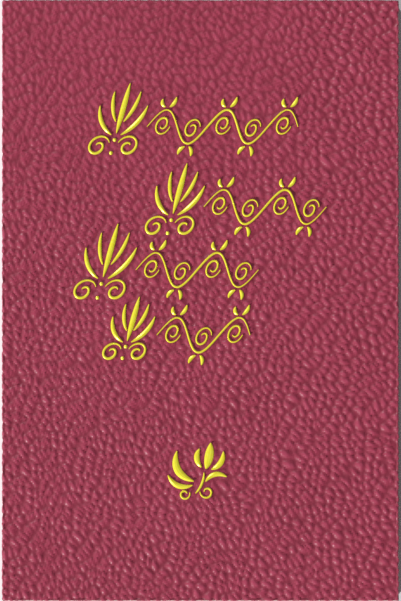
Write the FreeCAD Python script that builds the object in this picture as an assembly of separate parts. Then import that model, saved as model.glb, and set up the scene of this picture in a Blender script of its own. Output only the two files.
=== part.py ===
import FreeCAD, Part
import math
import os

from FreeCAD import Vector

# A pocket prayer book in a flexible leatherette case binding, closed and lying on its back cover.
# Millimetres. +X runs from the spine to the fore-edge, +Y to the head, +Z out of the front cover.
# The origin is at the middle of the face that the book rests on.

# Case
COVER_HEIGHT = 133.4
COVER_WIDTH = 88.1
SKIN_THICKNESS = 0.4
BOARD_THICKNESS = 0.9
TURN_IN_THICKNESS = 0.3
TURN_IN_WIDTH = 12.0
COVER_EDGE_RADIUS = 0.3
INLAY_THICKNESS = 0.4

# Text block
SQUARE = 2.0                 # how far the cover stands out past the leaves
SIGNATURE_COUNT = 8
SHEETS_PER_SIGNATURE = 4
LEAF_THICKNESS = 0.09
LEAF_PITCH = 0.11
ENDPAPER_THICKNESS = 0.12
ENDPAPER_BORDER = 0.2        # the pastedown is trimmed this much shorter than the leaves

# Spine linings
LINER_THICKNESS = 0.15
MULL_THICKNESS = 0.1
MULL_SHORTFALL = 15.0        # the mull stops this far short of the leaves' head and tail
MULL_FLAP_WIDTH = 16.0
GLUE_THICKNESS = 0.3
THREAD_RADIUS = 0.12
THREAD_SLOT_HALF_WIDTH = 0.15
THREAD_STATIONS = (-51.0, -17.0, 17.0, 51.0)
BAND_RADIUS = 0.55
BAND_TONGUE_LENGTH = 12.0

# Clearances
FOLD_GAP = 0.05              # between the case's parts at the spine corner
LAYER_GAP = 0.03             # between pieces that move apart
TOUCH = 1e-6                 # closer than this counts as touching

# Gold ornament
FOIL_HEIGHT = 0.28           # the ornament stands up like cushioned, embossed foil
FOIL_PROFILE = ((1.0, 0.0), (0.8, 0.6), (0.3, 1.0))      # the rounded section: width and height shares
STROKE_END_WIDTH = 0.24
SWELL_POWER = 0.7            # below 1, a stroke keeps its width for longer along its middle
BOW_SAMPLES = 6
SAMPLES_PER_TURN = 12
SLANT = 0.28                 # sideways lean of the rows, as a part of their height
STEM_WIDTH = 0.5
CURL_WIDTH = 0.46
CURL_END_RADIUS = 0.55
CURL_TURN = 1.35             # turns of each curl
CURL_STRETCH = 1.3           # height of a scroll's curl over its width
CURL_DROP = 0.95             # from a crest of the stem down to the top of its curl
STEM_SAMPLES = 8             # centreline points in each wave of a scroll's stem
STEM_AMPLITUDE = 0.56        # height of a wave's crest over the middle, in wave pitches
CURL_RADIUS = 0.265          # in wave pitches
CURL_START_ANGLE = 12.0
CREST_LEAF_FOOT = 0.65       # from a crest out to the foot of its leaves
CREST_LEAF_WIDTH = 0.85
CREST_LEAVES = ((2.8, 1.4), (2.4, -1.5))     # each leaf's reach out from the crest and tilt sideways
BERRY_RADIUS = 0.42

# Blades of the ornament: start, end, bulge to the left of the way from start to end, and width.
# A volute: centre, radius, start angle and width. A sprig's curl: the same, with its turns before the width.
PALMETTE_UNITS = 16          # the palmette's height in the units of its own points
PALMETTE_SPEAR = ((0, 5.3), (0, 16))
PALMETTE_SPEAR_WIDTH = 1.25
PALMETTE_BLADES = (
    ((1.0, 5.0), (5.1, 11.2), -0.9, 1.0),
    ((0.85, 7.8), (2.8, 14.2), -0.5, 0.85),
)
PALMETTE_VOLUTE = ((3.2, 2.5), 2.4, 160, 0.62)
PALMETTE_BERRIES = ((0, 3.9), (0, 1.1))
SPRIG_BLADES = (
    ((-0.5, 0.9), (1.4, 5.5), -0.5, 0.6),
    ((1.8, 6.3), (2.9, 12.1), -0.2, 2.0),
    ((0.8, 6.7), (0.4, 10.8), 0.8, 1.3),
    ((3.0, 6.2), (5.7, 10.2), -0.9, 1.3),
    ((-0.9, 3.6), (-4.6, 10.3), 1.9, 1.7),
    ((-1.2, 2.7), (-6.6, 4.9), 1.3, 1.2),
    ((1.75, 3.5), (6.4, 4.6), 1.1, 1.1),
)
SPRIG_CURLS = (
    ((2.0, 1.2), 1.5, 176, 1.0, 0.5),
    ((-2.9, 0.7), 1.2, 20, -1.0, 0.5),
)

# Rows of the ornament: the palmette's middle, the row's foot, the palmette's height, and the
# scroll's start, number of waves and wave pitch.
ORNAMENT_ROWS = (
    (-20.2, 31.6, 16.6, -13.8, 5, 6.7),
    (-7.6, 13.8, 16.6, -1.2, 4, 6.8),
    (-23.2, -0.6, 17.6, -16.4, 4, 6.8),
    (-17.6, -13.8, 14.6, -11.4, 3, 6.9),
)
ROW_MIDDLE = 0.42            # level of a scroll's stem, as a part of its palmette's height
SPRIG_PLACE = (-0.6, -43.7)  # middle and foot

# Derived places
SPINE_X = -COVER_WIDTH / 2
FORE_EDGE_X = COVER_WIDTH / 2
HALF_HEIGHT = COVER_HEIGHT / 2
LEAF_HALF_HEIGHT = HALF_HEIGHT - SQUARE
LEAF_END_X = FORE_EDGE_X - SQUARE
BOARD_Z = SKIN_THICKNESS + BOARD_THICKNESS
INNER_Z = BOARD_Z + TURN_IN_THICKNESS + ENDPAPER_THICKNESS
SIGNATURE_THICKNESS = 2 * SHEETS_PER_SIGNATURE * LEAF_PITCH
SIGNATURE_PITCH = SIGNATURE_THICKNESS + LAYER_GAP
BLOCK_LOW_Z = INNER_Z + LAYER_GAP
SIGNATURES_LOW_Z = BLOCK_LOW_Z + ENDPAPER_THICKNESS + LAYER_GAP
SIGNATURES_HIGH_Z = SIGNATURES_LOW_Z + SIGNATURE_COUNT * SIGNATURE_PITCH - LAYER_GAP
BLOCK_HIGH_Z = SIGNATURES_HIGH_Z + LAYER_GAP + ENDPAPER_THICKNESS
FRONT_FACE_Z = BLOCK_HIGH_Z + LAYER_GAP + INNER_Z
MIDDLE_Z = FRONT_FACE_Z / 2
SKIN_START_X = SPINE_X + SKIN_THICKNESS + FOLD_GAP
BOARD_START_X = SPINE_X + SKIN_THICKNESS + INLAY_THICKNESS + 2 * FOLD_GAP
SPINE_TURN_IN_X = SPINE_X + SKIN_THICKNESS + INLAY_THICKNESS
LINER_X = SPINE_TURN_IN_X + TURN_IN_THICKNESS + FOLD_GAP
MULL_X = LINER_X + LINER_THICKNESS
GLUE_X = MULL_X + MULL_THICKNESS
FOLD_X = GLUE_X + GLUE_THICKNESS + LAYER_GAP


def block(x0, x1, y0, y1, z0, z1):
    """A box between two corners."""
    return Part.makeBox(x1 - x0, y1 - y0, z1 - z0, Vector(x0, y0, z0))


def to_front(shape):
    """The front cover's twin of a back cover piece."""
    return shape.mirror(Vector(0, 0, MIDDLE_Z), Vector(0, 0, 1))


def save(name, *solids):
    """Write one node, made of one or more separate solids."""
    shape = solids[0] if len(solids) == 1 else Part.makeCompound(list(solids))
    shape.exportStep(os.path.join("parts", name + ".step"))


# ---- the case --------------------------------------------------------------------------------

def cover_skin():
    """Leatherette over the back board, wrapped round three edges and turned in."""
    face = block(SKIN_START_X, FORE_EDGE_X, -HALF_HEIGHT, HALF_HEIGHT, 0, SKIN_THICKNESS)
    wrap = block(BOARD_START_X, FORE_EDGE_X, -HALF_HEIGHT, HALF_HEIGHT,
                 SKIN_THICKNESS, BOARD_Z + TURN_IN_THICKNESS)
    pocket = block(BOARD_START_X, FORE_EDGE_X - SKIN_THICKNESS,
                   SKIN_THICKNESS - HALF_HEIGHT, HALF_HEIGHT - SKIN_THICKNESS,
                   SKIN_THICKNESS, BOARD_Z)
    window = block(BOARD_START_X, FORE_EDGE_X - TURN_IN_WIDTH,
                   TURN_IN_WIDTH - HALF_HEIGHT, HALF_HEIGHT - TURN_IN_WIDTH,
                   BOARD_Z, BOARD_Z + TURN_IN_THICKNESS)
    skin = face.fuse(wrap).removeSplitter().cut(pocket).cut(window)
    rim = [edge for edge in skin.Edges if is_outer_rim(edge)]
    return skin.makeFillet(COVER_EDGE_RADIUS, rim)


def is_outer_rim(edge):
    """True for the edges where the outside face meets the head, tail and fore-edge."""
    box = edge.BoundBox
    on_face = box.ZMax < TOUCH
    at_head_or_tail = min(abs(box.YMin + HALF_HEIGHT) + abs(box.YMax + HALF_HEIGHT),
                          abs(box.YMin - HALF_HEIGHT) + abs(box.YMax - HALF_HEIGHT)) < TOUCH
    at_fore_edge = abs(box.XMin - FORE_EDGE_X) + abs(box.XMax - FORE_EDGE_X) < TOUCH
    return on_face and (at_head_or_tail or at_fore_edge)


def cover_board():
    """Flexible card board under the back skin."""
    return block(BOARD_START_X, FORE_EDGE_X - SKIN_THICKNESS,
                 SKIN_THICKNESS - HALF_HEIGHT, HALF_HEIGHT - SKIN_THICKNESS,
                 SKIN_THICKNESS, BOARD_Z)


def mull_flap():
    """The stretch of mull pasted to the board beside the spine."""
    half = LEAF_HALF_HEIGHT - MULL_SHORTFALL
    return block(BOARD_START_X, BOARD_START_X + MULL_FLAP_WIDTH, -half, half,
                 BOARD_Z, BOARD_Z + MULL_THICKNESS)


def pastedown():
    """Endpaper pasted inside the cover, stepping over the turn-ins and the mull flap."""
    end_x = LEAF_END_X - ENDPAPER_BORDER
    half = LEAF_HALF_HEIGHT - ENDPAPER_BORDER
    turn_in_x = FORE_EDGE_X - TURN_IN_WIDTH
    turn_in_y = HALF_HEIGHT - TURN_IN_WIDTH
    flap_y = LEAF_HALF_HEIGHT - MULL_SHORTFALL
    flap_x = BOARD_START_X + MULL_FLAP_WIDTH
    step = ENDPAPER_THICKNESS

    filled = block(BOARD_START_X, end_x, -half, half, BOARD_Z, INNER_Z)
    hollow = block(BOARD_START_X, turn_in_x - step, step - turn_in_y, turn_in_y - step,
                   BOARD_Z + step, INNER_Z)
    flap_cover = block(BOARD_START_X, flap_x + step, -flap_y - step, flap_y + step,
                       BOARD_Z + step, BOARD_Z + MULL_THICKNESS + step)
    flap_room = block(BOARD_START_X, flap_x, -flap_y, flap_y, BOARD_Z, BOARD_Z + MULL_THICKNESS)
    inside = block(BOARD_START_X, turn_in_x, -turn_in_y, turn_in_y,
                   BOARD_Z, BOARD_Z + TURN_IN_THICKNESS)
    under = block(BOARD_START_X, end_x, -half, half, BOARD_Z, BOARD_Z + TURN_IN_THICKNESS)
    turn_ins = under.cut(inside)
    return filled.cut(hollow).fuse(flap_cover).cut(turn_ins).cut(flap_room).removeSplitter()


def spine_skin():
    """Leatherette over the spine, rounded where it folds onto the covers and turned in at both ends."""
    round_radius = SKIN_THICKNESS / 2
    wall = block(SPINE_X, SPINE_X + SKIN_THICKNESS, -HALF_HEIGHT, HALF_HEIGHT,
                 round_radius, FRONT_FACE_Z - round_radius)
    for z in (round_radius, FRONT_FACE_Z - round_radius):
        fold = Part.makeCylinder(round_radius, COVER_HEIGHT,
                                 Vector(SPINE_X + round_radius, -HALF_HEIGHT, z), Vector(0, 1, 0))
        wall = wall.fuse(fold)
    for side in (-1, 1):
        wall = wall.fuse(spine_turn_in(side))
    return wall.removeSplitter()


def spine_turn_in(side):
    """The skin folded over one end of the spine inlay: side 1 is the head, -1 the tail."""
    low_z = INNER_Z + ENDPAPER_THICKNESS
    high_z = FRONT_FACE_Z - low_z
    inner_x = SPINE_TURN_IN_X + TURN_IN_THICKNESS
    over_y = sorted((side * (HALF_HEIGHT - SKIN_THICKNESS), side * HALF_HEIGHT))
    flap_y = sorted((side * (HALF_HEIGHT - TURN_IN_WIDTH), side * HALF_HEIGHT))
    over = block(SPINE_X + SKIN_THICKNESS, inner_x, over_y[0], over_y[1], low_z, high_z)
    flap = block(SPINE_TURN_IN_X, inner_x, flap_y[0], flap_y[1], low_z, high_z)
    return over.fuse(flap)


def spine_inlay():
    """Thin card that keeps the spine flat."""
    return block(SPINE_X + SKIN_THICKNESS, SPINE_TURN_IN_X,
                 SKIN_THICKNESS - HALF_HEIGHT, HALF_HEIGHT - SKIN_THICKNESS,
                 SKIN_THICKNESS + 2 * FOLD_GAP, FRONT_FACE_Z - SKIN_THICKNESS - 2 * FOLD_GAP)


# ---- the spine linings -----------------------------------------------------------------------

def lining(x0, thickness, half_height):
    """A flat lining glued down the back of the text block."""
    return block(x0, x0 + thickness, -half_height, half_height, BLOCK_LOW_Z, BLOCK_HIGH_Z)


def sewing_threads():
    """One run of link stitches up the folds at each sewing station."""
    x = GLUE_X + GLUE_THICKNESS - THREAD_RADIUS
    length = SIGNATURES_HIGH_Z - SIGNATURES_LOW_Z - SIGNATURE_THICKNESS
    start_z = SIGNATURES_LOW_Z + SIGNATURE_THICKNESS / 2
    return [Part.makeCylinder(THREAD_RADIUS, length, Vector(x, y, start_z), Vector(0, 0, 1))
            for y in THREAD_STATIONS]


def spine_glue():
    """Glue between the folds and the mull, parted where the stitches run."""
    glue = lining(GLUE_X, GLUE_THICKNESS, LEAF_HALF_HEIGHT - 2 * ENDPAPER_BORDER)
    slot_x = GLUE_X + GLUE_THICKNESS - 2 * THREAD_RADIUS
    for y in THREAD_STATIONS:
        slot = block(slot_x, FOLD_X, y - THREAD_SLOT_HALF_WIDTH, y + THREAD_SLOT_HALF_WIDTH,
                     SIGNATURES_LOW_Z, SIGNATURES_HIGH_Z)
        glue = glue.cut(slot)
    return glue


def end_band(side):
    """Corded band at the head (side 1) or tail (side -1), with the tongue that is glued down."""
    bead_y = side * (LEAF_HALF_HEIGHT + BAND_RADIUS + LAYER_GAP)
    bead_x = MULL_X + BAND_RADIUS
    height = BLOCK_HIGH_Z - BLOCK_LOW_Z
    bead = Part.makeCylinder(BAND_RADIUS, height, Vector(bead_x, bead_y, BLOCK_LOW_Z), Vector(0, 0, 1))
    tongue_y = sorted((side * (LEAF_HALF_HEIGHT - BAND_TONGUE_LENGTH), bead_y))
    tongue = block(MULL_X, GLUE_X, tongue_y[0], tongue_y[1], BLOCK_LOW_Z, BLOCK_HIGH_Z)
    return bead.fuse(tongue).removeSplitter()


# ---- the leaves ------------------------------------------------------------------------------

def folded_sheet(middle_z, depth):
    """One sheet folded in half: depth 0 is the outermost of its signature."""
    outer = SIGNATURE_THICKNESS / 2 - depth * LEAF_PITCH
    inner = outer - LEAF_THICKNESS
    centre_x = FOLD_X + SIGNATURE_THICKNESS / 2

    def at(x, z):
        return Vector(x, -LEAF_HALF_HEIGHT, middle_z + z)

    outside = Part.Arc(at(centre_x, outer), at(centre_x - outer, 0), at(centre_x, -outer)).toShape()
    inside = Part.Arc(at(centre_x, -inner), at(centre_x - inner, 0), at(centre_x, inner)).toShape()
    lower = Part.makePolygon([at(centre_x, -outer), at(LEAF_END_X, -outer),
                              at(LEAF_END_X, -inner), at(centre_x, -inner)])
    upper = Part.makePolygon([at(centre_x, inner), at(LEAF_END_X, inner),
                              at(LEAF_END_X, outer), at(centre_x, outer)])
    profile = Part.Wire([outside] + lower.Edges + [inside] + upper.Edges)
    return Part.Face(profile).extrude(Vector(0, 2 * LEAF_HALF_HEIGHT, 0))


def signature(number):
    """Nested folded sheets. Number 1 is next to the front cover."""
    high_z = SIGNATURES_HIGH_Z - (number - 1) * SIGNATURE_PITCH
    middle_z = high_z - SIGNATURE_THICKNESS / 2
    return [folded_sheet(middle_z, depth) for depth in range(SHEETS_PER_SIGNATURE)]


def flyleaf():
    """The free half of the back endpaper."""
    return block(FOLD_X, LEAF_END_X, -LEAF_HALF_HEIGHT, LEAF_HALF_HEIGHT,
                 BLOCK_LOW_Z, BLOCK_LOW_Z + ENDPAPER_THICKNESS)


# ---- the gold ornament -----------------------------------------------------------------------

def swell(position, end_width, middle_width):
    """Width of a stroke, growing from its ends to its middle. Position runs from 0 to 1."""
    return end_width + (middle_width - end_width) * math.sin(math.pi * position) ** SWELL_POWER


def outline(points, widths, z):
    """Closed outline round a centreline: two smooth sides and two short straight ends."""
    sides = ([], [])
    last = len(points) - 1
    for i, point in enumerate(points):
        ahead = points[min(i + 1, last)]
        behind = points[max(i - 1, 0)]
        dx, dy = ahead[0] - behind[0], ahead[1] - behind[1]
        length = math.hypot(dx, dy)
        for side, sign in zip(sides, (1, -1)):
            offset = sign * widths[i] / 2 / length
            side.append(Vector(point[0] - dy * offset, point[1] + dx * offset, z))
    left, right = (Part.BSplineCurve() for _ in sides)
    left.interpolate(sides[0])
    right.interpolate(sides[1][::-1])
    return Part.Wire([left.toShape(), Part.makeLine(sides[0][-1], sides[1][-1]),
                      right.toShape(), Part.makeLine(sides[1][0], sides[0][0])])


def stroke(points, middle_width, end_width=STROKE_END_WIDTH):
    """A raised foil stroke along a centreline, with a rounded section."""
    last = len(points) - 1
    widths = [swell(i / last, end_width, middle_width) for i in range(len(points))]
    sections = [outline(points, [share * width for width in widths], FRONT_FACE_Z + rise * FOIL_HEIGHT)
                for share, rise in FOIL_PROFILE]
    return Part.makeLoft(sections, True, True)


def berry(x, y):
    """A raised round dot of foil."""
    side = [Vector(x + share * BERRY_RADIUS, y, FRONT_FACE_Z + rise * FOIL_HEIGHT) for share, rise in FOIL_PROFILE]
    axis = [Vector(x, y, FRONT_FACE_Z + FOIL_HEIGHT), Vector(x, y, FRONT_FACE_Z)]
    section = Part.Face(Part.makePolygon(side + axis + side[:1]))
    return section.revolve(axis[1], Vector(0, 0, 1), 360)


def spiral(centre, start_radius, end_radius, start_angle, turns):
    """Points of a curl that winds in towards its centre. Positive turns run anticlockwise."""
    count = int(abs(turns) * SAMPLES_PER_TURN)
    points = []
    for i in range(count + 1):
        part = i / count
        radius = start_radius + (end_radius - start_radius) * part
        angle = math.radians(start_angle) + 2 * math.pi * turns * part
        points.append((centre[0] + radius * math.cos(angle), centre[1] + radius * math.sin(angle)))
    return points


def bow(start, end, bulge):
    """Points of a gently curved line: bulge is its height over the chord, to the left of it."""
    dx, dy = end[0] - start[0], end[1] - start[1]
    length = math.hypot(dx, dy)
    points = []
    for i in range(BOW_SAMPLES + 1):
        part = i / BOW_SAMPLES
        rise = bulge * 4 * part * (1 - part) / length
        points.append((start[0] + dx * part - dy * rise, start[1] + dy * part + dx * rise))
    return points


def lean(points, foot_y):
    """Slant points to the right with their height over a row's foot."""
    return [(x + SLANT * (y - foot_y), y) for x, y in points]


def mirrored(points, axis_x):
    """Points reflected left to right about a line."""
    return [(2 * axis_x - x, y) for x, y in points]


def palmette(x, foot_y, height):
    """Leaf fan that opens each row: paired blades over paired volutes, about an upright axis."""
    unit = height / PALMETTE_UNITS

    def place(point):
        return (x + unit * point[0], foot_y + unit * point[1])

    centre_blade = bow(place(PALMETTE_SPEAR[0]), place(PALMETTE_SPEAR[1]), 0)
    strokes = [stroke(lean(centre_blade, foot_y), PALMETTE_SPEAR_WIDTH)]
    centre, radius, start_angle, width = PALMETTE_VOLUTE
    volute = spiral(place(centre), radius * unit, CURL_END_RADIUS, start_angle, -CURL_TURN)
    right_side = [(volute, width)]
    for start, end, bulge, width in PALMETTE_BLADES:
        right_side.append((bow(place(start), place(end), bulge), width))
    for points, width in right_side:
        strokes.append(stroke(lean(points, foot_y), width))
        strokes.append(stroke(lean(mirrored(points, x), foot_y), width))
    for point in PALMETTE_BERRIES:
        strokes.append(berry(*lean([place(point)], foot_y)[0]))
    return strokes


def stretched(points, centre_y, factor):
    """Points drawn out up and down from a level line."""
    return [(x, centre_y + factor * (y - centre_y)) for x, y in points]


def running_scroll(start_x, middle_y, waves, pitch, foot_y):
    """A waving stem with a curl in each hollow and a pair of leaves on each crest."""
    amplitude = STEM_AMPLITUDE * pitch
    curl_radius = CURL_RADIUS * pitch
    stem = []
    for i in range(waves * STEM_SAMPLES + 1):
        part = i / STEM_SAMPLES
        stem.append((start_x + pitch * part, middle_y + amplitude * math.sin(math.pi * part)))
    strokes = [stroke(lean(stem, foot_y), STEM_WIDTH)]
    for wave in range(waves):
        side = 1 if wave % 2 == 0 else -1
        crest_x = start_x + pitch * (wave + 0.5)
        crest_y = middle_y + side * amplitude
        curl_y = crest_y - side * (CURL_DROP + CURL_STRETCH * curl_radius)
        curl = spiral((crest_x, curl_y), curl_radius, CURL_END_RADIUS,
                      -side * CURL_START_ANGLE, -side * CURL_TURN)
        strokes.append(stroke(lean(stretched(curl, curl_y, CURL_STRETCH), foot_y), CURL_WIDTH))
        for reach, tilt in CREST_LEAVES:
            leaf = bow((crest_x + tilt / 3, crest_y + side * CREST_LEAF_FOOT),
                       (crest_x + tilt, crest_y + side * reach), -side * tilt / 4)
            strokes.append(stroke(lean(leaf, foot_y), CREST_LEAF_WIDTH))
    return strokes


def sprig(x, foot_y):
    """Small spray: a bud of three petals on a stem, with leaves each side and curls at the foot."""
    strokes = []
    for start, end, bulge, width in SPRIG_BLADES:
        blade = bow((x + start[0], foot_y + start[1]), (x + end[0], foot_y + end[1]), bulge)
        strokes.append(stroke(blade, width))
    for centre, radius, start_angle, turns, width in SPRIG_CURLS:
        curl = spiral((x + centre[0], foot_y + centre[1]), radius, CURL_END_RADIUS, start_angle, turns)
        strokes.append(stroke(curl, width))
    return strokes


def ornament_row(palmette_x, foot_y, height, scroll_x, waves, pitch):
    """One slanted row: a palmette and the scroll that runs from it."""
    middle_y = foot_y + ROW_MIDDLE * height
    return palmette(palmette_x, foot_y, height) + running_scroll(scroll_x, middle_y, waves, pitch, foot_y)


# ---- the nodes -------------------------------------------------------------------------------

COVER_PIECES = {
    "skin": cover_skin(),
    "board": cover_board(),
    "mull_flap": mull_flap(),
    "pastedown": pastedown(),
    "flyleaf": flyleaf(),
}
for piece_name, piece in COVER_PIECES.items():
    save("back_" + piece_name, piece)
    save("front_" + piece_name, to_front(piece))

save("spine_skin", spine_skin())
save("spine_inlay", spine_inlay())
save("spine_paper_liner", lining(LINER_X, LINER_THICKNESS, LEAF_HALF_HEIGHT - ENDPAPER_BORDER))
save("spine_mull", lining(MULL_X, MULL_THICKNESS, LEAF_HALF_HEIGHT - MULL_SHORTFALL))
save("spine_glue", spine_glue())
save("sewing_thread", *sewing_threads())
save("head_band", end_band(1))
save("tail_band", end_band(-1))

for number in range(1, SIGNATURE_COUNT + 1):
    save("signature_%d" % number, *signature(number))

for number, row in enumerate(ORNAMENT_ROWS, 1):
    save("ornament_row_%d" % number, *ornament_row(*row))
save("ornament_sprig", *sprig(*SPRIG_PLACE))
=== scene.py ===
import math

import bmesh
import bpy
import numpy as np
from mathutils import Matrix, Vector
from mathutils.bvhtree import BVHTree


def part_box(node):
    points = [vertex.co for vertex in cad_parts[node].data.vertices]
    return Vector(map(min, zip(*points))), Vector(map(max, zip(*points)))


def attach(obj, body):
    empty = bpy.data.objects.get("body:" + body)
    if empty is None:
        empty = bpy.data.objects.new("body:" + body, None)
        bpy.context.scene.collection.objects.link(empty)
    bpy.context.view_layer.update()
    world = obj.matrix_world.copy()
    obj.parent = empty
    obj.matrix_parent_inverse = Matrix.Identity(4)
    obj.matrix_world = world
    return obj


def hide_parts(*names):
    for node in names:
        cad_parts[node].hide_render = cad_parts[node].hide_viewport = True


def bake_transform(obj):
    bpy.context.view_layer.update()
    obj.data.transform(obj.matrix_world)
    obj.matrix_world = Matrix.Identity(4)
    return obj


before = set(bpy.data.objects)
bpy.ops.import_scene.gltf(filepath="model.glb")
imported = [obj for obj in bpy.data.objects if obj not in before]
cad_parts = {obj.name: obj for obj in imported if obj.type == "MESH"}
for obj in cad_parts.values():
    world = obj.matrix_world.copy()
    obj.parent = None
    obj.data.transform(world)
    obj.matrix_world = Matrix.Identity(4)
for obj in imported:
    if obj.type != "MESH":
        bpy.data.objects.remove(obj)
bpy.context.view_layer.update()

# A pocket prayer book: leatherette case, gold ornament, sewn leaves. Metres, in the book's own frame:
# +X from the spine to the fore-edge, +Y to the head, +Z out of the front cover.

MM = 0.001
SEED = 7

# Places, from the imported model
SKIN_LOW, SKIN_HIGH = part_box("front_skin")
BOARD_LOW, BOARD_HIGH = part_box("front_board")
SHEET_LOW, SHEET_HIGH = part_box("signature_1")
SPINE_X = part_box("spine_skin")[0][0]
FORE_EDGE_X = SKIN_HIGH[0]
HALF_HEIGHT = SKIN_HIGH[1]
FACE_Z = SKIN_HIGH[2]
MIDDLE_Z = FACE_Z / 2
FOLD_X = SHEET_LOW[0]
LEAF_END_X = SHEET_HIGH[0]
LEAF_HALF_HEIGHT = SHEET_HIGH[1]
SIGNATURE_COUNT = 8

# Case
SKIN = FACE_Z - BOARD_HIGH[2]
BOARD_DEPTH = FACE_Z - BOARD_LOW[2]
TURN_IN = BOARD_LOW[2] - SKIN_LOW[2]
TURN_IN_WIDTH = 12 * MM
BARE_DEPTH = SKIN + 0.05 * MM            # depth to the turn-in where no card lies between
INLAY_DEPTH = 2 * SKIN
CORNER_RADIUS = SKIN                     # the skin folds tightly round the inlay's corner
EDGE_RADIUS = 0.35 * MM
UNDER_RADIUS = 0.2 * MM
UNDER_BULGE = 0.3                        # the under edge's middle point, as a part of its radius
RIM_ARC_STEPS = 3
RIM_WALL_STEPS = 3
GRAIN_STEP = 0.385 * MM                  # spacing of the skin's mesh
ARC_STEPS = 10
STRIPS_END_X = SPINE_X + 3 * CORNER_RADIUS       # the hidden side is cut in strips up to here, to bend

# Leather grain
LATTICE = 64                             # the random lattices repeat after this many cells
WANDER_GAIN = 1.6                        # brings the noise up to about -1 to 1
WIDE_WANDER = (0.9 * MM, 8 * MM)         # how far the pebbles wander, over what distance
CLOSE_WANDER = (0.35 * MM, 3 * MM)
PEBBLE_WIDTH = 1.15 * MM
PEBBLE_LENGTH = 2.5 * MM
PEBBLE_PLACE_P = (0.22, 0.56)            # a pebble's centre in its cell: lowest place and random share
PEBBLE_PLACE_Q = (0.1, 0.8)
PEBBLE_FULLNESS = 1.3                    # above 1, tops are broader than valleys
FINE_PEBBLE_WIDTH = 0.75 * MM
FINE_PEBBLE_LENGTH = 1.2 * MM
CREASE_TURN = math.radians(36)           # from the head's direction to the creases, towards the spine
CREASE_SHARE = 1.1                       # how much of the way across the creases is along u, at mid-spine
CREASE_SHARE_LOSS = 2.4                  # and its loss for each metre of u
GRAIN_DEPTH = 0.42 * MM
GRAIN_TOP = 0.7                          # the grain's height where the smooth skin would be
FOLD_STRETCH = 1.4                       # the fold pulls the grain nearly smooth
RIM_GRAIN = 0.6                          # the grain's depth round the covers' edges
RIM_GRAIN_ROWS = 7                       # and the rows over which it fades to the turn-in
SOFT_SHARE = 0.32                        # how much softer the emboss is at the head, near the spine
SOFT_FROM_Y = 5 * MM
SOFT_FULL_Y = 55 * MM
SOFT_FULL_U = 60 * MM
SOFT_TO_U = 85 * MM
FOIL_SHADOW_TONE = 0.15                      # painted shadow: the skin round the foil is coloured as dark as a crease
FOIL_PRESS = 0.45 * MM                   # the die flattens the grain this far round the foil, and the painted shadow reaches as far
FOIL_PRESS_FULL = 0.3 * FOIL_PRESS

# Leaves
SHEETS = 4
LEAF_THICKNESS = 0.09 * MM
LEAF_PITCH = (SHEET_HIGH[2] - SHEET_LOW[2]) / (2 * SHEETS)
SHEET_GAP = 0.01 * MM                    # between a sheet and the one round it
SHEET_PRESSED = 0.005 * MM               # the bound sheets are pressed this much thinner
FOLD_STEPS = 6
GUTTER = 13 * MM                         # the leaves bend over this distance from their folds
GUTTER_STEPS = 24
LEAF_STEPS = 5
TRIM_SPREAD = 0.05 * MM                  # unevenness of the trimmed edges

# Endpapers
PASTE_HINGE = 1.4 * MM
PASTE_STEPS = 32
PASTE_RAMP = 0.8 * MM
PASTE_RAMP_PARTS = (0.33, 0.67, 1)
PASTE_FLAT_Y = [4 * MM, 25 * MM]         # stations along the flat middle

# Bands
BAND_RADIUS = 0.55 * MM
BAND_TONGUE = 0.1 * MM
BAND_TURNS = 26
BAND_SIDES = 20
BAND_STEPS_PER_TURN = 6
BAND_RIDGE = 0.06 * MM

# Print
LINE_PITCH = 3.7 * MM
LINE_SHARE = 0.34                        # ink's share of the line pitch
PRINT_LEFT = 11 * MM
PRINT_RIGHT = 75 * MM
PRINT_HALF_HEIGHT = 54 * MM
WORDS_PER_METRE = 260                    # scale of the noise that breaks a line into words
LINE_SHIFT = 7.3                         # keeps the words of neighbouring lines apart
WORD_GAP = 0.40
SHORT_LINE_ODDS = 0.82                   # a line above this is cut short
SHORT_LINE_CUT = 0.4
INK_STRENGTH = 0.72

# Colours
BOARD_GREY = (0.36, 0.31, 0.24)
KRAFT_BROWN = (0.45, 0.33, 0.19)
MULL_CREAM = (0.80, 0.77, 0.68)
TONGUE_CREAM = (0.78, 0.70, 0.52)
THREAD_CREAM = (0.80, 0.74, 0.60)
THREAD_RED = (0.33, 0.03, 0.05)
INK_GREY = (0.10, 0.095, 0.09)
TABLE_WHITE = (0.92, 0.92, 0.92)

# Camera and lights
LENS_MM = 200
SENSOR_MM = 36
FLOOR_HALF = 3.0
SKY_STRENGTH = 0.15
LIGHT_SOFTNESS = 4
LIGHTS = (("grain_light", 226, 28, 3.4),         # azimuth and elevation in degrees, strength
          ("foil_light", 128, 38, 1.4))


# ---- meshes ----------------------------------------------------------------------------------

def make_object(name, vertices, faces, smooth=True):
    """A mesh object with consistent outward normals."""
    mesh = bpy.data.meshes.new(name)
    mesh.from_pydata(vertices, [], faces)
    mesh.validate()
    bm = bmesh.new()
    bm.from_mesh(mesh)
    bmesh.ops.recalc_face_normals(bm, faces=bm.faces)
    bm.to_mesh(mesh)
    bm.free()
    mesh.polygons.foreach_set("use_smooth", [smooth] * len(mesh.polygons))
    obj = bpy.data.objects.new(name, mesh)
    bpy.context.scene.collection.objects.link(obj)
    return obj


def set_attribute(obj, name, kind, values):
    """Store one value per vertex."""
    attribute = obj.data.attributes.new(name, kind, "POINT")
    key = "vector" if kind == "FLOAT_VECTOR" else "value"
    attribute.data.foreach_set(key, np.asarray(values, np.float32).ravel())


def smoothstep(low, high, value):
    part = np.clip((value - low) / (high - low), 0, 1)
    return part * part * (3 - 2 * part)


# ---- leather grain ---------------------------------------------------------------------------

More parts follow.
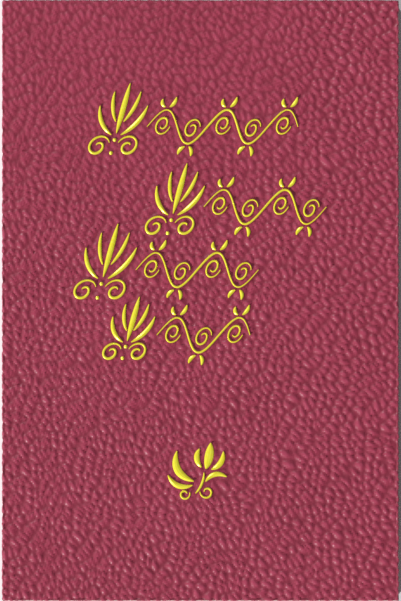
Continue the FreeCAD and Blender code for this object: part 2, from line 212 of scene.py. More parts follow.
def wander(p, q, seed):
    """Smooth gradient noise, about -1 to 1, with unit cells."""
    turns = np.random.default_rng(seed).random((LATTICE, LATTICE)) * 2 * np.pi
    i, j = np.floor(p).astype(int), np.floor(q).astype(int)
    part_p, part_q = p - i, q - j

    def slope(step_i, step_j):
        turn = turns[(i + step_i) % LATTICE, (j + step_j) % LATTICE]
        return np.cos(turn) * (part_p - step_i) + np.sin(turn) * (part_q - step_j)

    ease_p, ease_q = smoothstep(0, 1, part_p), smoothstep(0, 1, part_q)
    low = slope(0, 0) * (1 - ease_p) + slope(1, 0) * ease_p
    high = slope(0, 1) * (1 - ease_p) + slope(1, 1) * ease_p
    return WANDER_GAIN * (low * (1 - ease_q) + high * ease_q)


def pebbles(p, q, seed):
    """Rounded cells with soft valleys between them, 0 to 1, in staggered rows along q."""
    random = np.random.default_rng(seed)
    stagger = random.random(LATTICE)
    centres_p = PEBBLE_PLACE_P[0] + PEBBLE_PLACE_P[1] * random.random((LATTICE, LATTICE))
    centres_q = PEBBLE_PLACE_Q[0] + PEBBLE_PLACE_Q[1] * random.random((LATTICE, LATTICE))
    row = np.floor(p).astype(int)
    nearest = np.full(p.shape, np.inf)
    second = np.full(p.shape, np.inf)
    for step_p in (-1, 0, 1):
        i = (row + step_p) % LATTICE
        shifted = q + stagger[i]
        cell = np.floor(shifted).astype(int)
        for step_q in (-1, 0, 1):
            j = (cell + step_q) % LATTICE
            away_p = row + step_p + centres_p[i, j] - p
            away_q = cell + step_q + centres_q[i, j] - shifted
            distance = np.hypot(away_p, away_q)
            second = np.minimum(second, np.maximum(nearest, distance))
            nearest = np.minimum(nearest, distance)
    return 0.5 + 0.5 * np.cos(np.pi * (nearest / second) ** PEBBLE_FULLNESS)


def grain(u, y):
    """Height of the embossed grain, 0 to 1, on the flat skin. u runs from mid-spine to the fore-edge."""
    bends = []
    for seed in (SEED, SEED + 1):
        wide = WIDE_WANDER[0] * wander(u / WIDE_WANDER[1], y / WIDE_WANDER[1], seed)
        close = CLOSE_WANDER[0] * wander(u / CLOSE_WANDER[1], y / CLOSE_WANDER[1], seed + 2)
        bends.append(wide + close)
    bent_u, bent_y = u + bends[0], y + bends[1]
    # the share falls, so the creases lean further over towards the fore-edge
    shared_u = (CREASE_SHARE - CREASE_SHARE_LOSS * abs(bent_u)) * bent_u
    across = shared_u * math.cos(CREASE_TURN) + bent_y * math.sin(CREASE_TURN)
    along = bent_y * math.cos(CREASE_TURN) - bent_u * math.sin(CREASE_TURN)
    return pebbles(across / PEBBLE_WIDTH, along / PEBBLE_LENGTH, SEED + 5)


def crispness(u, y):
    """The emboss is softer at the head, near the spine, than elsewhere."""
    near_head = smoothstep(SOFT_FROM_Y, SOFT_FULL_Y, y)
    near_spine = 1 - smoothstep(SOFT_FULL_U, SOFT_TO_U, abs(u))
    return 1 - SOFT_SHARE * near_head * near_spine


# ---- the leatherette case --------------------------------------------------------------------

X, Z, INWARD_X, INWARD_Z, DEPTH, RUN = range(6)          # the columns of the section's stations


def section_stations():
    """The skin's outside line across the book, from mid-spine round the fold to the fore-edge:
    place (x, z), inward normal (x, z), depth to the turn-in, and distance along the line."""
    stations = []
    wall = FACE_Z - CORNER_RADIUS - MIDDLE_Z
    wall_steps = round(wall / GRAIN_STEP)
    for i in range(wall_steps):
        rise = wall * i / wall_steps
        stations.append((SPINE_X, MIDDLE_Z + rise, 1.0, 0.0, INLAY_DEPTH, rise))
    centre_x, centre_z = SPINE_X + CORNER_RADIUS, FACE_Z - CORNER_RADIUS
    for i in range(ARC_STEPS + 1):
        angle = math.pi / 2 * i / ARC_STEPS
        stations.append((centre_x - CORNER_RADIUS * math.cos(angle),
                         centre_z + CORNER_RADIUS * math.sin(angle),
                         math.cos(angle), -math.sin(angle), BARE_DEPTH,
                         wall + CORNER_RADIUS * angle))
    face_start = wall + CORNER_RADIUS * math.pi / 2
    face = FORE_EDGE_X - EDGE_RADIUS - centre_x
    face_steps = round(face / GRAIN_STEP)
    for i in range(1, face_steps + 1):
        run = face * i / face_steps
        stations.append((centre_x + run, FACE_Z, 0.0, -1.0, BOARD_DEPTH, face_start + run))
    return np.array(stations)


def rim_profile(depth):
    """The skin's way round a cover's edge: steps of (outward, inward) from where the edge starts
    to round over, under the board to the turn-in's free edge and back along the board."""
    bottom = depth + TURN_IN
    steps = []
    for i in range(1, RIM_ARC_STEPS + 1):
        angle = math.pi / 2 * i / RIM_ARC_STEPS
        steps.append((EDGE_RADIUS * math.sin(angle) - EDGE_RADIUS, EDGE_RADIUS * (1 - math.cos(angle))))
    straight = bottom - UNDER_RADIUS - EDGE_RADIUS
    for i in range(1, RIM_WALL_STEPS + 1):
        steps.append((0.0, EDGE_RADIUS + straight * i / RIM_WALL_STEPS))
    steps.append((-UNDER_BULGE * UNDER_RADIUS, bottom - UNDER_BULGE * UNDER_RADIUS))
    steps.append((-UNDER_RADIUS, bottom))
    steps.append((-TURN_IN_WIDTH / 4, bottom))
    steps.append((-TURN_IN_WIDTH, bottom))
    steps.append((-TURN_IN_WIDTH, depth))
    steps.append((-SKIN, depth))
    steps.append((-SKIN, SKIN))
    return steps


def foil_tree():
    """All faces of the gold ornament, for finding what the stamping die pressed."""
    corners, faces = [], []
    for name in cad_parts:
        if name.startswith("ornament"):
            mesh = bpy.data.objects[name].data
            start = len(corners)
            corners += [vertex.co.copy() for vertex in mesh.vertices]
            faces += [[start + i for i in face.vertices] for face in mesh.polygons]
    return BVHTree.FromPolygons(corners, faces)


def foil_press(x, y, on_face):
    """1 beside the foil, falling to 0 where the grain is whole, and 0 off the flat face."""
    tree = foil_tree()
    spots = zip(np.broadcast_to(x, y.shape)[on_face].ravel(), y[on_face].ravel())
    distance = np.array([tree.find_nearest((spot_x, spot_y, FACE_Z))[3] for spot_x, spot_y in spots])
    press = np.zeros(y.shape)
    press[on_face] = (1 - smoothstep(FOIL_PRESS_FULL, FOIL_PRESS, distance)).reshape(-1, y.shape[1])
    return press


def outside(stations, ys, front):
    """The skin's grained outside: points, places on the flat blank and grain heights, with painted shadow
    round the foil on the front.
    """
    shape = (len(stations), len(ys))
    x, z, inward_x, inward_z, _, run = (stations[:, i:i + 1] for i in range(stations.shape[1]))
    flat_u = np.broadcast_to(run if front else -run, shape)
    flat_y = np.broadcast_to(ys, shape)
    height = grain(flat_u, flat_y)
    stretched = 1 - FOLD_STRETCH * np.abs(inward_x * inward_z)
    lift = (height - GRAIN_TOP) * crispness(flat_u, flat_y) * GRAIN_DEPTH * stretched
    if front:
        press = foil_press(x, flat_y, stations[:, INWARD_Z] == -1.0)
        lift = lift * (1 - press)
        # painted shadow round the foil: the pressed skin takes a crease's dark tone
        height = height * (1 - press) + FOIL_SHADOW_TONE * press
    points = np.stack([x - inward_x * lift, flat_y, z - inward_z * lift], -1)
    blank = np.stack([flat_u, flat_y, np.zeros(shape)], -1)
    return points.reshape(-1, 3), blank.reshape(-1, 3), height.ravel()


def rim_walk(nx, ny):
    """The outside's points along the head, fore-edge and tail: (station, row, outward x, outward y)."""
    last, top = nx - 1, ny - 1
    walk = [(j, top, 0, 1) for j in range(last)] + [(last, top, 1, 1)]
    walk += [(last, k, 1, 0) for k in range(top - 1, 0, -1)] + [(last, 0, 1, -1)]
    walk += [(j, 0, 0, -1) for j in range(last - 1, -1, -1)]
    return walk


def rim_ring(row, rim, profiles, stations, ys, front):
    """One step of the way round the edges: points, places on the flat blank and grain heights."""
    side = 1 if front else -1
    points, blank = [], []
    for (j, k, side_x, side_y), profile in zip(rim, profiles):
        outward, inward = profile[row]
        reach = outward + EDGE_RADIUS                # the outside stops one radius short of the edge
        points.append((stations[j, X] + side_x * reach + stations[j, INWARD_X] * inward,
                       ys[k] + side_y * reach,
                       stations[j, Z] + stations[j, INWARD_Z] * inward))
        step = EDGE_RADIUS + max(outward, -inward) + inward
        blank.append((side * (stations[j, RUN] + side_x * step), ys[k] + side_y * step, 0))
    points, blank = np.array(points), np.array(blank)
    height = grain(blank[:, 0], blank[:, 1])
    fade = max(0.0, 1 - row / RIM_GRAIN_ROWS)
    out = np.array([(side_x, side_y, 0.0) for _, _, side_x, side_y in rim])
    out /= np.linalg.norm(out, axis=1, keepdims=True)
    points += out * ((height - GRAIN_TOP) * GRAIN_DEPTH * RIM_GRAIN * fade)[:, None]
    return points, blank, height * fade + GRAIN_TOP * (1 - fade)


def skin_faces(rings, stations, ny):
    """Faces of the outside, the edges, the hidden side against the card and the cut at mid-spine."""
    index = np.arange(len(stations) * ny).reshape(-1, ny)
    quads = np.stack([index[:-1, :-1], index[1:, :-1], index[1:, 1:], index[:-1, 1:]], -1)
    faces = quads.reshape(-1, 4).tolist()
    for ring, further in zip(rings, rings[1:]):
        faces += [[ring[i], ring[i + 1], further[i + 1], further[i]] for i in range(len(ring) - 1)]
    hidden = rings[-1]
    strips = int(np.argmax(stations[:, X] > STRIPS_END_X))
    for j in range(strips):
        faces.append([hidden[j], hidden[j + 1], hidden[-2 - j], hidden[-1 - j]])
    faces.append(hidden[strips:len(hidden) - strips])
    cut = [ring[0] for ring in rings] + [ring[-1] for ring in rings[::-1]]
    faces.append(cut + index[0, 1:-1].tolist())
    return faces


def bend_skin(skin):
    """Bake the skin's placement into its mesh."""
    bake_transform(skin)


def case_skin(name, front):
    """Half of the case's leatherette: mid-spine, fold and one cover, with its turned-in edges."""
    stations = section_stations()
    ny = round(2 * (HALF_HEIGHT - EDGE_RADIUS) / GRAIN_STEP) + 1
    ys = np.linspace(EDGE_RADIUS - HALF_HEIGHT, HALF_HEIGHT - EDGE_RADIUS, ny)
    rim = rim_walk(len(stations), ny)
    profiles = [rim_profile(stations[j, DEPTH]) for j, _, _, _ in rim]
    parts = [outside(stations, ys, front)]
    rings = [[j * ny + k for j, k, _, _ in rim]]
    for row in range(len(profiles[0])):
        parts.append(rim_ring(row, rim, profiles, stations, ys, front))
        start = len(stations) * ny + row * len(rim)
        rings.append(list(range(start, start + len(rim))))
    vertices, blank, heights = (np.concatenate(part) for part in zip(*parts))
    if not front:
        vertices[:, 2] = FACE_Z - vertices[:, 2]      # turned over, so its outside faces down
    skin = make_object(name, vertices.tolist(), skin_faces(rings, stations, ny))
    set_attribute(skin, "blank", "FLOAT_VECTOR", blank)
    set_attribute(skin, "grain", "FLOAT", heights)
    skin.data.materials.append(leatherette())
    bend_skin(skin)
    return skin


# ---- leaves ----------------------------------------------------------------------------------

def leaf_line(radius, end_x):
    """Half of a folded sheet's section, from its fold to its fore-edge: (x, distance from its middle)."""
    centre_x = FOLD_X + SHEETS * LEAF_PITCH
    line = []
    for i in range(FOLD_STEPS):
        angle = math.pi / 2 * i / FOLD_STEPS
        line.append((centre_x - radius * math.cos(angle), radius * math.sin(angle)))
    for i in range(GUTTER_STEPS):
        line.append((centre_x + (GUTTER - centre_x + FOLD_X) * i / GUTTER_STEPS, radius))
    start = FOLD_X + GUTTER
    for i in range(LEAF_STEPS + 1):
        line.append((start + (end_x - start) * i / LEAF_STEPS, radius))
    return line


def folded_sheet(depth, middle_z, random):
    """Vertices and faces of one folded sheet, with its page coordinates. Depth 0 is the outermost."""
    outer = (SHEETS - depth) * LEAF_PITCH - SHEET_GAP
    inner = outer - LEAF_THICKNESS + SHEET_PRESSED
    section = []
    for sign in (1, -1):
        end_x = LEAF_END_X + random.uniform(-TRIM_SPREAD, 0)
        lines = zip(leaf_line(outer, end_x), leaf_line(inner, end_x))
        pairs = [((ox, sign * oz), (ix, sign * iz)) for (ox, oz), (ix, iz) in lines]
        section += pairs[::-1] if sign == 1 else pairs[1:]
    vertices, pages = [], []
    tail = random.uniform(0, TRIM_SPREAD) - LEAF_HALF_HEIGHT
    head = LEAF_HALF_HEIGHT - random.uniform(0, TRIM_SPREAD)
    for pair in section:
        for x, z in pair:
            for y in (tail, head):
                vertices.append((x, y, middle_z + z))
                pages.append((x - FOLD_X, y, z))
    faces, edge_faces = [], []
    last = len(section) - 1
    for i in range(last):
        a, b = 4 * i, 4 * (i + 1)
        faces.append((a, b, b + 1, a + 1))
        faces.append((a + 2, a + 3, b + 3, b + 2))
        edge_faces.append((a, a + 2, b + 2, b))
        edge_faces.append((a + 1, b + 1, b + 3, a + 3))
    for a in (0, 4 * last):
        edge_faces.append((a, a + 1, a + 3, a + 2))
    return vertices, pages, faces, edge_faces


def signature_leaves(number):
    """The nested sheets of one signature, folded round the signature's own middle."""
    name = f"signature_{number}"
    low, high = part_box(name)
    middle_z = (low[2] + high[2]) / 2
    random = np.random.default_rng(SEED + 10 * number)
    vertices, pages, faces, edge_faces = [], [], [], []
    for depth in range(SHEETS):
        start = len(vertices)
        more = folded_sheet(depth, middle_z, random)
        vertices += more[0]
        pages += more[1]
        faces += [tuple(start + i for i in face) for face in more[2]]
        edge_faces += [tuple(start + i for i in face) for face in more[3]]
    leaves = make_object(f"leaves_{number}", vertices, faces + edge_faces, smooth=False)
    set_attribute(leaves, "page", "FLOAT_VECTOR", pages)
    leaves.data.materials.append(printed_paper(blank=number == 1))
    leaves.data.materials.append(leaf_edge())
    indices = [0] * len(faces) + [1] * len(edge_faces)
    leaves.data.polygons.foreach_set("material_index", indices)
    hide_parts(name)
    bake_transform(leaves)


# ---- endpapers -------------------------------------------------------------------------------

def grid_slab(name, xs, ys, top, thickness):
    """A thin closed slab over a grid. top(x, y) is its upper face's height."""
    nx, ny = len(xs), len(ys)
    upper = [(x, y, top(x, y)) for x in xs for y in ys]
    vertices = upper + [(x, y, z - thickness) for x, y, z in upper]
    faces = []
    under = nx * ny
    for i in range(nx - 1):
        for j in range(ny - 1):
            a, b, c, d = i * ny + j, (i + 1) * ny + j, (i + 1) * ny + j + 1, i * ny + j + 1
            faces.append((a, b, c, d))
            faces.append((under + d, under + c, under + b, under + a))
    for i in range(nx - 1):
        for j in (0, ny - 1):
            a, b = i * ny + j, (i + 1) * ny + j
            faces.append((a, b, under + b, under + a))
    for j in range(ny - 1):
        for i in (0, nx - 1):
            a, b = i * ny + j, i * ny + j + 1
            faces.append((a, b, under + b, under + a))
    return make_object(name, vertices, faces, smooth=False)


def hinge_stations(start, reach, steps, end, far_steps):
    """Stations close together where a sheet bends, then few."""
    near = [start + reach * i / steps for i in range(steps)]
    far = [start + reach + (end - start - reach) * i / far_steps for i in range(far_steps + 1)]
    return near + far


def pastedown(side):
    """Endpaper inside a cover, from the text block's shoulder, over the mull and the turn-ins."""
    node = side + "_pastedown"
    low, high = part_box(node)
    inner_z, outer_z = (low[2], high[2]) if side == "front" else (high[2], low[2])
    away = 1 if side == "front" else -1
    flyleaf_low, flyleaf_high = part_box(side + "_flyleaf")
    thickness = flyleaf_high[2] - flyleaf_low[2]
    window_x = FORE_EDGE_X - TURN_IN_WIDTH
    window_y = HALF_HEIGHT - TURN_IN_WIDTH
    drop = abs(outer_z - inner_z) - thickness
    flap_low, flap_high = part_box(side + "_mull_flap")
    flap_inner_z = flap_low[2] if side == "front" else flap_high[2]
    flap_rise = abs(outer_z - flap_inner_z) / drop
    flap_end_x, flap_end_y = flap_high[0], flap_high[1]

    def face(x, y):
        over_x = smoothstep(window_x - PASTE_RAMP, window_x, x)
        over_y = smoothstep(window_y - PASTE_RAMP, window_y, abs(y))
        near = 1 - smoothstep(FOLD_X, FOLD_X + 2 * PASTE_HINGE, x)
        past_x = smoothstep(flap_end_x, flap_end_x + PASTE_RAMP, x)
        past_y = smoothstep(flap_end_y, flap_end_y + PASTE_RAMP, abs(y))
        return max(over_x, over_y, near, flap_rise * (1 - past_x) * (1 - past_y))

    def top(x, y):
        lower = inner_z + away * (1 - face(x, y)) * drop
        return lower + thickness if side == "front" else lower

    up = [PASTE_RAMP * part for part in PASTE_RAMP_PARTS]
    down = up[::-1] + [0]
    xs = hinge_stations(FOLD_X, 2 * PASTE_HINGE, PASTE_STEPS, flap_end_x, 2)
    xs += [flap_end_x + step for step in up] + [window_x - step for step in down] + [high[0]]
    half = PASTE_FLAT_Y + [flap_end_y] + [flap_end_y + step for step in up]
    half += [window_y - step for step in down] + [high[1]]
    ys = [-y for y in half[::-1]] + half
    paper = grid_slab(side + "_pasted_endpaper", xs, ys, top, thickness)
    paper.data.materials.append(endpaper())
    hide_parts(node)
    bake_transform(paper)


def flyleaf(side):
    """The free half of an endpaper."""
    node = side + "_flyleaf"
    low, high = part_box(node)
    xs = hinge_stations(FOLD_X, GUTTER, GUTTER_STEPS, high[0], LEAF_STEPS)
    ys = [low[1], 0, high[1]]
    paper = grid_slab(side + "_free_endpaper", xs, ys, lambda x, y: high[2], high[2] - low[2])
    paper.data.materials.append(endpaper())
    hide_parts(node)
    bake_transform(paper)


# ---- bands -----------------------------------------------------------------------------------

def end_band(node, side):
    """Corded band over the ends of the folds: a bead wrapped with two colours of thread."""
    low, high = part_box(node)
    tongue_end_y = high[1] if side < 0 else low[1]
    bead_y = (low[1] + BAND_RADIUS) if side < 0 else (high[1] - BAND_RADIUS)
    bead_x = high[0] - BAND_RADIUS
    rows = BAND_TURNS * BAND_STEPS_PER_TURN
    vertices, wraps = [], []
    for i in range(rows + 1):
        z = low[2] + (high[2] - low[2]) * i / rows
        for j in range(BAND_SIDES):
            angle = 2 * math.pi * j / BAND_SIDES
            phase = i / BAND_STEPS_PER_TURN + angle / (2 * math.pi)
            radius = BAND_RADIUS - BAND_RIDGE * (1 - abs(math.sin(math.pi * phase)))
            vertices.append((bead_x + radius * math.cos(angle), bead_y + radius * math.sin(angle), z))
            wraps.append((phase, 0, 0))
    faces = []
    for i in range(rows):
        for j in range(BAND_SIDES):
            k = (j + 1) % BAND_SIDES
            faces.append((i * BAND_SIDES + j, i * BAND_SIDES + k,
                          (i + 1) * BAND_SIDES + k, (i + 1) * BAND_SIDES + j))
    faces.append(tuple(range(BAND_SIDES)))
    faces.append(tuple(rows * BAND_SIDES + j for j in range(BAND_SIDES)))
    bead = make_object(node + "_cord", vertices, faces)
    set_attribute(bead, "wrap", "FLOAT_VECTOR", wraps)
    bead.data.materials.append(wrapped_thread())
    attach(bead, "spine")

    tongue_x = (low[0], low[0] + BAND_TONGUE)
    tongue_y = sorted((tongue_end_y, bead_y))
    tongue = grid_slab(node + "_tongue", tongue_x, tongue_y, lambda x, y: high[2], high[2] - low[2])
    tongue.data.materials.append(cloth("band_tongue_cloth", TONGUE_CREAM, 4200))
    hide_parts(node)
    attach(tongue, "spine")


# ---- materials -------------------------------------------------------------------------------

def start_material(name):
    """A new material with a Principled shader, and short ways to add nodes and links to it."""
    material = bpy.data.materials.new(name)
    material.use_nodes = True
    nodes = material.node_tree.nodes
    links = material.node_tree.links
    shader = nodes["Principled BSDF"]

    def add(kind, inputs=(), **settings):
        node = nodes.new("ShaderNode" + kind)
        for key, value in settings.items():
            setattr(node, key, value)
        for key, value in dict(inputs).items():
            if isinstance(value, bpy.types.NodeSocket):
                links.new(value, node.inputs[key])
            else:
                node.inputs[key].default_value = value
        return node

    def join(socket, target):
        links.new(socket, shader.inputs[target])

    return material, shader, add, join


def colour(rgb):
    return (*rgb, 1.0)


def ramp(add, factor, stops):
    """A colour ramp through (position, colour) stops."""
    node = add("ValToRGB", {"Fac": factor})
    elements = node.color_ramp.elements
    while len(elements) < len(stops):
        elements.new(0.5)
    for element, (position, rgb) in zip(elements, stops):
        element.position = position
        element.color = colour(rgb)
    return node.outputs["Color"]


def once(build):
    """Make each material only the first time it is asked for."""
    made = {}

    def get(*arguments, **named):
        key = (arguments, tuple(sorted(named.items())))
        if key not in made:
            made[key] = build(*arguments, **named)
        return made[key]

    return get


@once
def leatherette():
    """Rose red embossed leatherette: painted shade in the creases, painted highlight on the tops, finer
    pebbles and pores.
    """
    material, shader, add, join = start_material("leatherette")
    height = add("Attribute", attribute_name="grain").outputs["Fac"]
    blank = add("Attribute", attribute_name="blank").outputs["Vector"]
    cells = add("Mapping", {"Vector": blank, "Rotation": (0, 0, CREASE_TURN),
                            "Scale": (FINE_PEBBLE_WIDTH, FINE_PEBBLE_LENGTH, 1)}, vector_type="TEXTURE")
    fine = add("TexVoronoi", {"Vector": cells.outputs["Vector"], "Scale": 1, "Smoothness": 0.6},
               feature="SMOOTH_F1", voronoi_dimensions="2D").outputs["Distance"]
    pores = add("TexNoise", {"Vector": blank, "Scale": 3200, "Detail": 4, "Roughness": 0.6}).outputs["Fac"]
    cloud = add("TexNoise", {"Vector": blank, "Scale": 55, "Detail": 2}).outputs["Fac"]
    # painted shade: the tone falls towards the edges of the fine pebbles and rises with the grain's height
    tone = add("Math", {0: fine, 1: -0.22, 2: height}, operation="MULTIPLY_ADD").outputs["Value"]
    tone = add("Math", {0: pores, 1: 0.25, 2: tone}, operation="MULTIPLY_ADD").outputs["Value"]
    tone = add("Math", {0: cloud, 1: 0.30, 2: tone}, operation="MULTIPLY_ADD").outputs["Value"]
    tone = add("MapRange", {"Value": tone, "From Min": 0.15, "From Max": 1.15}).outputs["Result"]
    # the ramp paints shade into the creases and highlight onto the tops of the grain; the pores and cloud add
    # random tone
    base = ramp(add, tone, (
        (0.0, (0.240, 0.018, 0.044)),
        (0.40, (0.325, 0.031, 0.068)),
        (0.75, (0.372, 0.041, 0.085)),
        (1.0, (0.430, 0.058, 0.113)),
    ))
    join(base, "Base Color")
    rough = add("MapRange", {"Value": height, "To Min": 0.55, "To Max": 0.34})
    join(rough.outputs["Result"], "Roughness")
    rise = add("Math", {0: fine, 1: -1.0}, operation="MULTIPLY").outputs["Value"]
    rise = add("Math", {0: pores, 1: 0.35, 2: rise}, operation="MULTIPLY_ADD").outputs["Value"]
    bump = add("Bump", {"Strength": 1.0, "Distance": 0.045 * MM, "Height": rise})
    join(bump.outputs["Normal"], "Normal")
    shader.inputs["Specular IOR Level"].default_value = 0.5
    shader.inputs["Coat Weight"].default_value = 0.15
    shader.inputs["Coat Roughness"].default_value = 0.32
    return material


@once
def gold_foil():
    """Bright yellow foil with a faint mottle."""
    material, shader, add, join = start_material("gold_foil")
    place = add("TexCoord").outputs["Object"]
    mottle = add("TexNoise", {"Vector": place, "Scale": 1800, "Detail": 3})
    base = ramp(add, mottle.outputs["Fac"], ((0.3, (1.0, 0.88, 0.03)), (0.7, (1.0, 0.96, 0.08))))
    join(base, "Base Color")
    rough = add("MapRange", {"Value": mottle.outputs["Fac"], "To Min": 0.22, "To Max": 0.40})
    join(rough.outputs["Result"], "Roughness")
    bump = add("Bump", {"Strength": 0.25, "Distance": 0.03 * MM, "Height": mottle.outputs["Fac"]})
    join(bump.outputs["Normal"], "Normal")
    shader.inputs["Metallic"].default_value = 0.2
    return material


def paper_fibres(add, vector, strong=1.0):
    """Fine fibre noise for paper."""
    fibres = add("TexNoise", {"Vector": vector, "Scale": 1500, "Detail": 5, "Roughness": 0.7})
    bump = add("Bump", {"Strength": 0.2 * strong, "Distance": 0.02 * MM, "Height": fibres.outputs["Fac"]})
    return fibres.outputs["Fac"], bump.outputs["Normal"]


@once
def endpaper():
    """Smooth cream paper."""
    material, shader, add, join = start_material("endpaper")
    fibres, normal = paper_fibres(add, add("TexCoord").outputs["Object"])
    join(ramp(add, fibres, ((0.35, (0.70, 0.65, 0.53)), (0.65, (0.80, 0.76, 0.65)))), "Base Color")
    join(normal, "Normal")
    shader.inputs["Roughness"].default_value = 0.8
    return material


@once
def leaf_edge():
    """Cut edges of the leaves."""
    material, shader, add, join = start_material("leaf_edge")
    page = add("Attribute", attribute_name="page").outputs["Vector"]
    streaks = add("Mapping", {"Vector": page, "Scale": (1, 1, 40)})
    fibres, normal = paper_fibres(add, streaks.outputs["Vector"], 2.0)
    join(ramp(add, fibres, ((0.3, (0.62, 0.56, 0.44)), (0.7, (0.84, 0.80, 0.70)))), "Base Color")
    join(normal, "Normal")
    shader.inputs["Roughness"].default_value = 0.9
    return material


@once
def printed_paper(blank):
    """Thin off-white paper, with grey bars in place of lines of print unless it is blank."""
    material, shader, add, join = start_material("blank_leaf" if blank else "printed_leaf")
    page = add("Attribute", attribute_name="page").outputs["Vector"]
    fibres, normal = paper_fibres(add, page)
    paper = ramp(add, fibres, ((0.35, (0.74, 0.71, 0.62)), (0.65, (0.83, 0.81, 0.73))))
    join(normal, "Normal")
    shader.inputs["Roughness"].default_value = 0.85
    if blank:
        join(paper, "Base Color")
        return material

    def math_node(operation, *values):
        return add("Math", dict(enumerate(values)), operation=operation).outputs["Value"]

    split = add("SeparateXYZ", {"Vector": page})
    x, y = split.outputs["X"], split.outputs["Y"]
    line = math_node("DIVIDE", y, LINE_PITCH)
    on_line = math_node("LESS_THAN", math_node("FRACT", line), LINE_SHARE)
    number = math_node("FLOOR", line)
    words = add("CombineXYZ", {"X": math_node("MULTIPLY", x, WORDS_PER_METRE),
                               "Y": math_node("MULTIPLY", number, LINE_SHIFT)})
    word_noise = add("TexNoise", {"Vector": words.outputs["Vector"], "Scale": 1, "Detail": 0})
    in_word = math_node("GREATER_THAN", word_noise.outputs["Fac"], WORD_GAP)
    right = add("TexWhiteNoise", {"W": number}, noise_dimensions="1D").outputs["Value"]
    short = math_node("MULTIPLY", math_node("GREATER_THAN", right, SHORT_LINE_ODDS), SHORT_LINE_CUT)
    limit = math_node("SUBTRACT", PRINT_RIGHT, math_node("MULTIPLY", short, PRINT_RIGHT - PRINT_LEFT))
    inside = math_node("MULTIPLY", math_node("GREATER_THAN", x, PRINT_LEFT), math_node("LESS_THAN", x, limit))
    tall = math_node("LESS_THAN", math_node("ABSOLUTE", y), PRINT_HALF_HEIGHT)
    ink = math_node("MULTIPLY", math_node("MULTIPLY", on_line, in_word), math_node("MULTIPLY", inside, tall))
    mix = add("Mix", data_type="RGBA")
    material.node_tree.links.new(math_node("MULTIPLY", ink, INK_STRENGTH), mix.inputs["Factor"])
    material.node_tree.links.new(paper, mix.inputs["A"])
    mix.inputs["B"].default_value = colour(INK_GREY)
    join(mix.outputs["Result"], "Base Color")
    return material


@once
def cloth(name, rgb, threads_per_metre):
    """Plain woven cloth."""
    material, shader, add, join = start_material(name)
    place = add("TexCoord").outputs["Object"]
    turn = 2 * math.pi * threads_per_metre / 20
    waves = []
    for axis in ("X", "Y"):
        waves.append(add("TexWave", {"Vector": place, "Scale": turn}, bands_direction=axis).outputs["Fac"])
    weave = add("Math", {0: waves[0], 1: waves[1]}, operation="MULTIPLY").outputs["Value"]
    dark = tuple(0.6 * part for part in rgb)
    join(ramp(add, weave, ((0.0, dark), (0.8, rgb))), "Base Color")
    bump = add("Bump", {"Strength": 0.5, "Distance": 0.05 * MM, "Height": weave})
    join(bump.outputs["Normal"], "Normal")
    shader.inputs["Roughness"].default_value = 0.95
    return material


@once
def wrapped_thread():
    """Thread wound over the bead in pairs of cream and red turns."""
    material, shader, add, join = start_material("wrapped_thread")
    wrap = add("Attribute", attribute_name="wrap").outputs["Vector"]
    turn = add("SeparateXYZ", {"Vector": wrap}).outputs["X"]
    part = add("Math", {0: turn, 1: 0.25}, operation="MULTIPLY").outputs["Value"]
    cycle = add("Math", {0: part}, operation="FRACT").outputs["Value"]
    base = ramp(add, cycle, ((0.0, THREAD_CREAM), (0.48, THREAD_CREAM),
                             (0.52, THREAD_RED), (1.0, THREAD_RED)))
    join(base, "Base Color")
    fuzz = add("TexNoise", {"Vector": add("TexCoord").outputs["Object"], "Scale": 6000, "Detail": 3})
    bump = add("Bump", {"Strength": 0.4, "Distance": 0.02 * MM, "Height": fuzz.outputs["Fac"]})
    join(bump.outputs["Normal"], "Normal")
    shader.inputs["Roughness"].default_value = 0.75
    shader.inputs["Sheen Weight"].default_value = 0.2
    return material


@once
def card(name, rgb):
    """Pressed card or kraft paper with visible fibres."""
    material, shader, add, join = start_material(name)
    fibres, normal = paper_fibres(add, add("TexCoord").outputs["Object"], 2.5)
    dark = tuple(0.7 * part for part in rgb)
    join(ramp(add, fibres, ((0.3, dark), (0.7, rgb))), "Base Color")
    join(normal, "Normal")
    shader.inputs["Roughness"].default_value = 0.9
    return material


@once
def dried_glue():
    """Flexible adhesive, slightly glossy and uneven."""
    material, shader, add, join = start_material("dried_glue")
    lumps = add("TexNoise", {"Vector": add("TexCoord").outputs["Object"], "Scale": 700, "Detail": 3})
    base = ramp(add, lumps.outputs["Fac"], ((0.3, (0.60, 0.52, 0.34)), (0.7, (0.74, 0.68, 0.50))))
    join(base, "Base Color")
    bump = add("Bump", {"Strength": 0.6, "Distance": 0.1 * MM, "Height": lumps.outputs["Fac"]})
    join(bump.outputs["Normal"], "Normal")
    shader.inputs["Roughness"].default_value = 0.4
    return material


@once
def linen_thread():
    """Waxed sewing thread with a twist."""
    material, shader, add, join = start_material("linen_thread")
    place = add("TexCoord").outputs["Object"]
    twist = add("TexWave", {"Vector": place, "Scale": 900}, bands_direction="DIAGONAL")
    base = ramp(add, twist.outputs["Fac"], ((0.2, (0.62, 0.58, 0.48)), (0.8, (0.82, 0.79, 0.70))))
    join(base, "Base Color")
    bump = add("Bump", {"Strength": 0.5, "Distance": 0.03 * MM, "Height": twist.outputs["Fac"]})
    join(bump.outputs["Normal"], "Normal")
    shader.inputs["Roughness"].default_value = 0.6
    return material


def dress(node, material):
    """Give a CAD node its finished material."""
    slots = bpy.data.objects[node].data.materials
    slots.clear()
    slots.append(material)


def dress_cad_nodes():
    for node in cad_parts:
        if node.startswith("ornament"):
            dress(node, gold_foil())
    for side in ("front", "back"):
        dress(side + "_board", card("grey_board", BOARD_GREY))
        dress(side + "_mull_flap", cloth("mull", MULL_CREAM, 2400))
    dress("spine_inlay", card("grey_board", BOARD_GREY))
    dress("spine_paper_liner", card("kraft", KRAFT_BROWN))
    dress("spine_mull", cloth("mull", MULL_CREAM, 2400))
    dress("spine_glue", dried_glue())
    dress("sewing_thread", linen_thread())


# ---- stage, light and camera -----------------------------------------------------------------

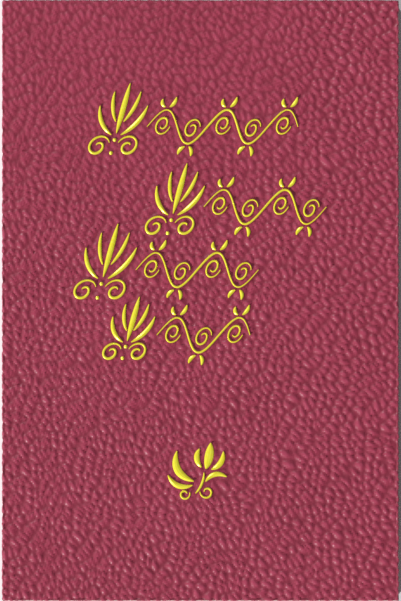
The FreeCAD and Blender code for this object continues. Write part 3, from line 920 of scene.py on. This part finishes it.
def make_camera():
    """Square above the front cover, which fills the picture's height."""
    data = bpy.data.cameras.new("camera")
    data.lens = LENS_MM
    data.sensor_fit = "VERTICAL"
    data.sensor_height = SENSOR_MM
    camera = bpy.data.objects.new("camera", data)
    distance = 2 * HALF_HEIGHT * LENS_MM / SENSOR_MM
    camera.location = (0, 0, FACE_Z + distance)
    bpy.context.scene.collection.objects.link(camera)
    bpy.context.scene.camera = camera


def make_sun(name, azimuth, elevation, strength):
    """Distant light. Azimuth is counted anticlockwise from +X, in degrees, like elevation."""
    data = bpy.data.lights.new(name, "SUN")
    data.energy = strength
    data.angle = math.radians(LIGHT_SOFTNESS)
    sun = bpy.data.objects.new(name, data)
    a, e = math.radians(azimuth), math.radians(elevation)
    toward = Vector((math.cos(a) * math.cos(e), math.sin(a) * math.cos(e), math.sin(e)))
    sun.rotation_euler = toward.to_track_quat("Z", "Y").to_euler()
    bpy.context.scene.collection.objects.link(sun)


def make_stage():
    """White table top, a soft sky and two distant lights."""
    corners = [(-1, -1), (1, -1), (1, 1), (-1, 1)]
    floor = make_object("floor", [(FLOOR_HALF * x, FLOOR_HALF * y, 0) for x, y in corners], [(0, 1, 2, 3)])
    floor.location.z = (GRAIN_TOP - 1) * GRAIN_DEPTH     # the back cover rests on the tops of its grain
    material, shader, add, join = start_material("table_top")
    shader.inputs["Base Color"].default_value = colour(TABLE_WHITE)
    shader.inputs["Roughness"].default_value = 0.8
    floor.data.materials.append(material)
    world = bpy.data.worlds.new("studio")
    bpy.context.scene.world = world
    world.use_nodes = True
    world.node_tree.nodes["Background"].inputs["Color"].default_value = colour((1, 1, 1))
    world.node_tree.nodes["Background"].inputs["Strength"].default_value = SKY_STRENGTH
    for name, azimuth, elevation, strength in LIGHTS:
        make_sun(name, azimuth, elevation, strength)
    bpy.context.scene.view_settings.view_transform = "Standard"


# ---- the build -------------------------------------------------------------------------------

make_camera()
make_stage()
dress_cad_nodes()
front = case_skin("front_leatherette", True)
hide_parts("front_skin", "spine_skin")
back = case_skin("back_leatherette", False)
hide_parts("back_skin")
for number in range(1, SIGNATURE_COUNT + 1):
    signature_leaves(number)
for side in ("front", "back"):
    pastedown(side)
    flyleaf(side)
end_band("head_band", 1)
end_band("tail_band", -1)
